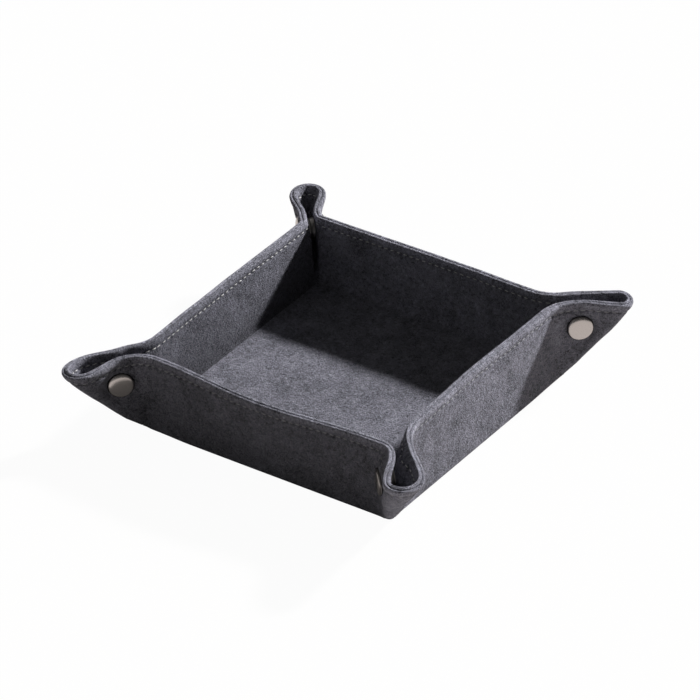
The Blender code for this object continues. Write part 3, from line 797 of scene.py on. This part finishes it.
floor_half = base_half - sheet_thickness - floor_bend + plate_tuck
floor_radii = (floor_corner_radius, floor_corner_radius)
floor_name = "lining_suede_floor"
floor_lining = square_plate(floor_name, floor_half, floor_radii, floor_bottom, floor_top, floor_softness)
dress(floor_lining, lining_finish, "lining_base")
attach(floor_lining, "base")


# Stitching: one line of lockstitch, 4 mm in from the edge and through both suedes, of polyester thread.
# Each stitch shows as a short bar that dips into its two holes, pale on the inside and slate outside.
stitch_length = 0.0022
stitch_lean = 0.0001
thread_radius = 0.00023
thread_proud_share = 0.35
thread_bluntness = 1.12
thread_end_dip = 0.9


def thread_finish(name, dark, light):
    """Twisted polyester thread, its plies showing as a fine change of tone."""
    finish, tree, shader = new_finish(name, light, 0.75)
    place = add_node(tree, "ShaderNodeTexCoord")
    twist = add_node(tree, "ShaderNodeTexNoise", scale=2500.0, detail=2.0, roughness=0.6)
    tone = add_node(tree, "ShaderNodeValToRGB")
    tone.color_ramp.elements[0].position = 0.3
    tone.color_ramp.elements[0].color = (*dark, 1.0)
    tone.color_ramp.elements[1].position = 0.7
    tone.color_ramp.elements[1].color = (*light, 1.0)
    twist_bump = add_node(tree, "ShaderNodeBump", strength=0.5, distance=0.0001)
    tree.links.new(place.outputs["Object"], twist.inputs["Vector"])
    tree.links.new(twist.outputs["Fac"], tone.inputs["Fac"])
    tree.links.new(tone.outputs["Color"], shader.inputs["Base Color"])
    tree.links.new(twist.outputs["Fac"], twist_bump.inputs["Height"])
    tree.links.new(twist_bump.outputs["Normal"], shader.inputs["Normal"])
    return finish


inside_thread = thread_finish("pale_grey_thread", (0.42, 0.41, 0.40), (0.85, 0.84, 0.82))
outside_thread = thread_finish("slate_thread", (0.25, 0.25, 0.26), (0.46, 0.46, 0.47))


def stitch_ends(wall, mirrored):
    """The two end stations of each stitch from the middle of a wall to the tip fold."""
    fine, run = seam_run(wall, mirrored)
    half = stitch_length / stitch_pitch / 2
    middles = [number + 0.5 for number in range(round(run[-1]))]
    return [np.interp([middle - half, middle + half], run, fine) for middle in middles]


def sew(mesh, wall, mirrored, ends, side):
    """One bar of thread lying in the dip of the stitch line, its ends turned down into their holes."""
    ear = ear_beside(wall, mirrored)
    offset = side * (face_offset - stitch_dip_depth + thread_radius * thread_proud_share)
    spots = []
    for end, lean in zip(ends, (stitch_lean, -stitch_lean)):
        height = rim_top(ear, mirrored, end) - stitch_drop + lean
        spots.append(suede_spot(wall, mirrored, end, height, offset))
    middle = sum(ends) / 2
    height = rim_top(ear, mirrored, middle) - stitch_drop
    center = suede_spot(wall, mirrored, middle, height, offset)
    outward = suede_spot(wall, mirrored, middle, height, offset + side * 0.001) - center
    along = (spots[1] - spots[0]).normalized()
    across = outward.cross(along).normalized()
    outward = along.cross(across)
    turn = Matrix((along, across, outward)).transposed().to_4x4()
    size = Matrix.Diagonal((stitch_length / 2, thread_radius, thread_radius, 1.0))
    lie = Matrix.Translation(center) @ turn @ size
    bar = bmesh.ops.create_uvsphere(mesh, u_segments=8, v_segments=7, radius=1.0)["verts"]
    for vert in bar:
        spin = vert.co.copy()
        vert.co = Vector((spin.z, spin.x, spin.y))
        vert.co.x = max(min(vert.co.x * thread_bluntness, 1.0), -1.0)
        vert.co.z -= thread_end_dip * vert.co.x**4
    bmesh.ops.transform(mesh, matrix=lie, verts=bar)
    for face in {face for vert in bar for face in vert.link_faces}:
        face.material_index = (1 - side) // 2


def seam(name, wall, pieces):
    """The stitches of one wall or ear half, between two stations of each given side."""
    mesh = bmesh.new()
    for mirrored, low, high in pieces:
        for ends in stitch_ends(wall, mirrored):
            if low <= sum(ends) / 2 < high:
                for side in (1, -1):
                    sew(mesh, wall, mirrored, ends, side)
    bmesh.ops.recalc_face_normals(mesh, faces=mesh.faces)
    for face in mesh.faces:
        face.smooth = True
    thread = finished(name, mesh)
    thread.data.materials.append(outside_thread)
    thread.data.materials.append(inside_thread)
    return thread


for wall in walls:
    thread = seam(f"stitches_wall_{wall}", wall, [(True, -2.0, 0.0), (False, -2.0, 0.0)])
    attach(thread, f"wall_{wall}")

for corner, wall, mirrored in ear_halves:
    place_name = f"{corner}_on_{wall}"
    thread = seam(f"stitches_ear_{place_name}", wall, [(mirrored, 0.0, 4.0)])
    start, end = crease_line(wall, mirrored)
    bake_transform(thread)


# Snap caps: thin domed discs of polished dark nickel, 12 mm across, one on each outer face of every ear.
# Each has a post that passes through both suedes and is clinched in the plain nickel socket or stud behind.
cap_radius = 0.0061
cap_height = 0.00186
post_radius = 0.0016
post_depth = 0.0042
smooth_edge_angle = radians(38)
# Band at the cap's edge over which painted shade darkens its colour.
shaded_rim = (0.0052, 0.0060)


def snap_frame(corner, side):
    """Frame on the diagonal plane whose Z points out through one half of the ear."""
    turn = Matrix.Rotation(corner * pi / 2, 4, "Z")
    reach = base_half + snap_out / sqrt(2)
    outward = Vector((-side, -side, 0)).normalized()
    facing = outward.to_track_quat("Z", "Y").to_matrix().to_4x4()
    return turn @ Matrix.Translation((reach, -reach, snap_height)) @ facing


def spun(name, profile, place, steps):
    """A closed turned piece: a profile of (radius, height) points spun about its own axis."""
    mesh = bmesh.new()
    verts = [mesh.verts.new((radius, 0.0, height)) for radius, height in profile]
    outline = verts + [mesh.edges.new(pair) for pair in zip(verts, verts[1:])]
    bmesh.ops.spin(
        mesh, geom=outline, cent=(0, 0, 0), axis=(0, 0, 1), angle=2 * pi, steps=steps, use_merge=True
    )
    bmesh.ops.remove_doubles(mesh, verts=mesh.verts, dist=1e-6)
    from_axis = mesh.verts.layers.float.new("from_axis")
    for vert in mesh.verts:
        vert[from_axis] = vert.co.to_2d().length
    bmesh.ops.transform(mesh, matrix=place, verts=mesh.verts)
    bmesh.ops.recalc_face_normals(mesh, faces=mesh.faces)
    for face in mesh.faces:
        face.smooth = True
    for edge in mesh.edges:
        edge.smooth = len(edge.link_faces) == 2 and edge.calc_face_angle() < smooth_edge_angle
    return finished(name, mesh)


cap_color = (0.51, 0.47, 0.447)
cap_finish, tree, shader = new_finish("polished_dark_nickel", cap_color, 0.2)
shader.inputs["Metallic"].default_value = 1.0
place = add_node(tree, "ShaderNodeTexCoord")
from_axis = add_node(tree, "ShaderNodeAttribute", attribute_name="from_axis").outputs["Fac"]
# The cap's colour is darkened towards its edge by painted shade.
painted_rim_shade_color = add_node(tree, "ShaderNodeVectorMath", operation="SCALE")
painted_rim_shade_color.inputs[0].default_value = cap_color
tree.links.new(smooth_range(tree, from_axis, *shaded_rim, 1.0, 0.22), painted_rim_shade_color.inputs["Scale"])
tree.links.new(painted_rim_shade_color.outputs["Vector"], shader.inputs["Base Color"])
haze = add_node(tree, "ShaderNodeTexNoise", scale=900.0, detail=4.0, roughness=0.7)
rough = add_node(tree, "ShaderNodeMapRange")
rough.inputs["To Min"].default_value = 0.16
rough.inputs["To Max"].default_value = 0.34
ripple = add_node(tree, "ShaderNodeTexNoise", scale=420.0, detail=2.0, roughness=0.5)
ripple_bump = add_node(tree, "ShaderNodeBump", strength=0.12, distance=0.0003)
tree.links.new(place.outputs["Object"], haze.inputs["Vector"])
tree.links.new(place.outputs["Object"], ripple.inputs["Vector"])
tree.links.new(haze.outputs["Fac"], rough.inputs["Value"])
tree.links.new(rough.outputs["Result"], shader.inputs["Roughness"])
tree.links.new(ripple.outputs["Fac"], ripple_bump.inputs["Height"])
tree.links.new(ripple_bump.outputs["Normal"], shader.inputs["Normal"])

cap_profile = [
    (0.0, cap_height),
    (0.0016, 0.00184),
    (0.0030, 0.00178),
    (0.0042, 0.00166),
    (0.0050, 0.00145),
    (0.0055, 0.00119),
    (0.0059, 0.00078),
    (0.00607, 0.00042),
    (cap_radius, 0.00012),
    (0.0060, -0.00008),
    (0.0057, -0.00016),
    (0.0054, -0.00010),
    (0.0053, 0.00030),
    (0.0040, 0.00100),
    (post_radius, 0.00130),
    (post_radius, -post_depth),
    (0.0, -post_depth),
]

part_finish, tree, shader = new_finish("plain_nickel", (0.60, 0.57, 0.53), 0.3)
shader.inputs["Metallic"].default_value = 1.0
place = add_node(tree, "ShaderNodeTexCoord")
brush = add_node(tree, "ShaderNodeTexNoise", scale=1400.0, detail=3.0, roughness=0.6)
rough = add_node(tree, "ShaderNodeMapRange")
rough.inputs["To Min"].default_value = 0.22
rough.inputs["To Max"].default_value = 0.42
tree.links.new(place.outputs["Object"], brush.inputs["Vector"])
tree.links.new(brush.outputs["Fac"], rough.inputs["Value"])
tree.links.new(rough.outputs["Result"], shader.inputs["Roughness"])

for index, corner in enumerate(corners):
    for wall, side, kind in ((walls[index], 1, "socket"), (walls[(index + 1) % 4], -1, "stud")):
        outside = snap_frame(index, side) @ Matrix.Translation((0, 0, leg_offset + face_offset))
        cap = spun(f"{kind}_cap_dome_{corner}", cap_profile, outside, 64)
        cap.data.materials.append(cap_finish)
        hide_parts(f"{kind}_cap_{corner}")
        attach(cap, f"ear_{corner}_on_{wall}")
        rests = [f"{kind}_{corner}"]
        if kind == "socket":
            rests.append(f"spring_{corner}")
        for node in rests:
            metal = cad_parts[node]
            metal.data.materials.clear()
            metal.data.materials.append(part_finish)


# Studio: the tray stands on a plain pale table that runs out to white, lit from behind on the right
# by one lamp small enough to throw the wall's shadow across the floor, with a little light all round.
# The camera's turn, tilt and roll are in degrees, and the tray's centre has its place in the picture.
view_across = 36.4
view_down = 34.0
view_roll = -2.33
view_distance = 2.613
pixels_per_metre = 2280.0
picture_size = 700
origin_in_view = (351.86, 399.53)
sensor_width = 36.0

across = radians(view_across)
down = radians(view_down)
back = Vector((sin(across) * cos(down), -cos(across) * cos(down), sin(down)))
right = Vector((cos(across), sin(across), 0.0))
up = back.cross(right)
roll = radians(view_roll)
rolled_right = right * cos(roll) + up * sin(roll)
rolled_up = up * cos(roll) - right * sin(roll)
right_of_origin = (picture_size / 2 - origin_in_view[0]) / pixels_per_metre
below_origin = (picture_size / 2 - origin_in_view[1]) / pixels_per_metre
aim = rolled_right * right_of_origin - rolled_up * below_origin
camera_data = bpy.data.cameras.new("camera")
camera = bpy.data.objects.new("camera", camera_data)
bpy.context.scene.collection.objects.link(camera)
bpy.context.scene.camera = camera
camera_data.sensor_width = sensor_width
camera_data.lens = pixels_per_metre * view_distance / picture_size * sensor_width
camera_data.clip_start = 0.05
camera_data.clip_end = 20.0
camera.location = back * view_distance
look = (camera.location - aim).normalized()
side_way = rolled_up.cross(look).normalized()
camera.rotation_euler = Matrix((side_way, look.cross(side_way), look)).transposed().to_euler()

table_half = 6.0
table_gap = 0.0002
table_mesh = bmesh.new()
bmesh.ops.create_grid(table_mesh, x_segments=1, y_segments=1, size=table_half)
table = finished("table", table_mesh)
table.location.z = -table_gap


def mirrored_light(tree, rays, strength):
    """How bright the polished caps mirror what the camera sees as white."""
    mirrored_rays = (rays.outputs["Is Glossy Ray"], rays.outputs["Is Transmission Ray"])
    return math_node(tree, "MULTIPLY", math_node(tree, "MAXIMUM", *mirrored_rays), strength)


table_finish, tree, shader = new_finish("pale_table", (0.76, 0.72, 0.69), 0.9)
shader.inputs["Specular IOR Level"].default_value = 0.1
glow = add_node(tree, "ShaderNodeEmission", strength=1.0)
rays = add_node(tree, "ShaderNodeLightPath")
seen = math_node(tree, "MULTIPLY", rays.outputs["Is Camera Ray"], 0.965)
mix = add_node(tree, "ShaderNodeMixShader")
tree.links.new(math_node(tree, "MAXIMUM", seen, mirrored_light(tree, rays, 0.05)), mix.inputs["Fac"])
tree.links.new(shader.outputs["BSDF"], mix.inputs[1])
tree.links.new(glow.outputs["Emission"], mix.inputs[2])
tree.links.new(mix.outputs["Shader"], tree.nodes["Material Output"].inputs["Surface"])
table.data.materials.append(table_finish)

world = bpy.data.worlds.new("studio")
bpy.context.scene.world = world
world.use_nodes = True
tree = world.node_tree
air = tree.nodes["Background"]
rays = add_node(tree, "ShaderNodeLightPath")
seen = math_node(tree, "MAXIMUM", rays.outputs["Is Camera Ray"], mirrored_light(tree, rays, 0.11))
tree.links.new(math_node(tree, "MAXIMUM", seen, 0.06), air.inputs["Strength"])
air.inputs["Color"].default_value = (1.0, 1.0, 1.0, 1.0)

towards_key = Vector((0.351, 0.779, 0.519))
towards_fill = Vector((-0.35, -0.85, 0.40))
key_data = bpy.data.lights.new("key_lamp", "SUN")
key_data.energy = 6.2
key_data.angle = radians(5.0)
key_data.color = (0.98, 0.985, 1.0)
key = bpy.data.objects.new("key_lamp", key_data)
bpy.context.scene.collection.objects.link(key)
key.rotation_euler = towards_key.to_track_quat("Z", "Y").to_euler()

fill_data = bpy.data.lights.new("fill_lamp", "SUN")
fill_data.energy = 0.17
fill_data.angle = radians(60.0)
fill = bpy.data.objects.new("fill_lamp", fill_data)
bpy.context.scene.collection.objects.link(fill)
fill.rotation_euler = towards_fill.to_track_quat("Z", "Y").to_euler()

bpy.context.scene.view_settings.view_transform = "Standard"
